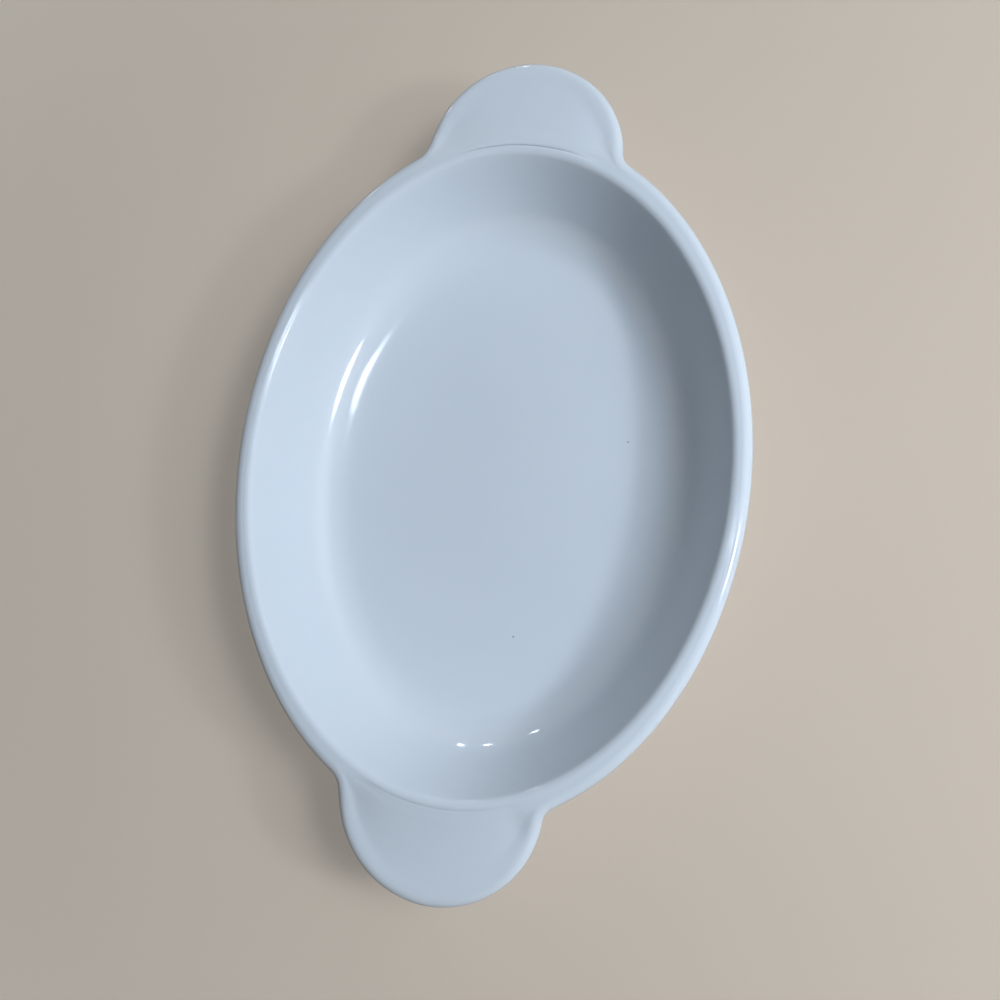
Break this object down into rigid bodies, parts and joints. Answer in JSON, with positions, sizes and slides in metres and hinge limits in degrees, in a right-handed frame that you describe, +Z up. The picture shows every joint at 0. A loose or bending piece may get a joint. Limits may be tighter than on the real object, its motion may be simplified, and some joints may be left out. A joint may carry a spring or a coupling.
{
  "type": "oval oven dish",
  "caption": "Open oval oven dish of white glazed stoneware: flared wall, coved floor and rounded lip, with a round lug handle at each end and a bare foot ring.",
  "frame": {"origin": "middle of the plane that the foot ring stands on", "axes": "+X along the dish through both handles, +Y across it, +Z up out of its mouth"},
  "size_m": [0.354, 0.216, 0.048],
  "materials": {
    "white_glaze": "glossy white glaze, faintly cool, over stoneware",
    "bare_clay": "unglazed, rubbed smooth"
  },
  "bodies": {
    "root": {"basin": "white_glaze", "right_handle": "white_glaze", "left_handle": "white_glaze", "foot_ring": "bare_clay"}
  },
  "joints": []
}
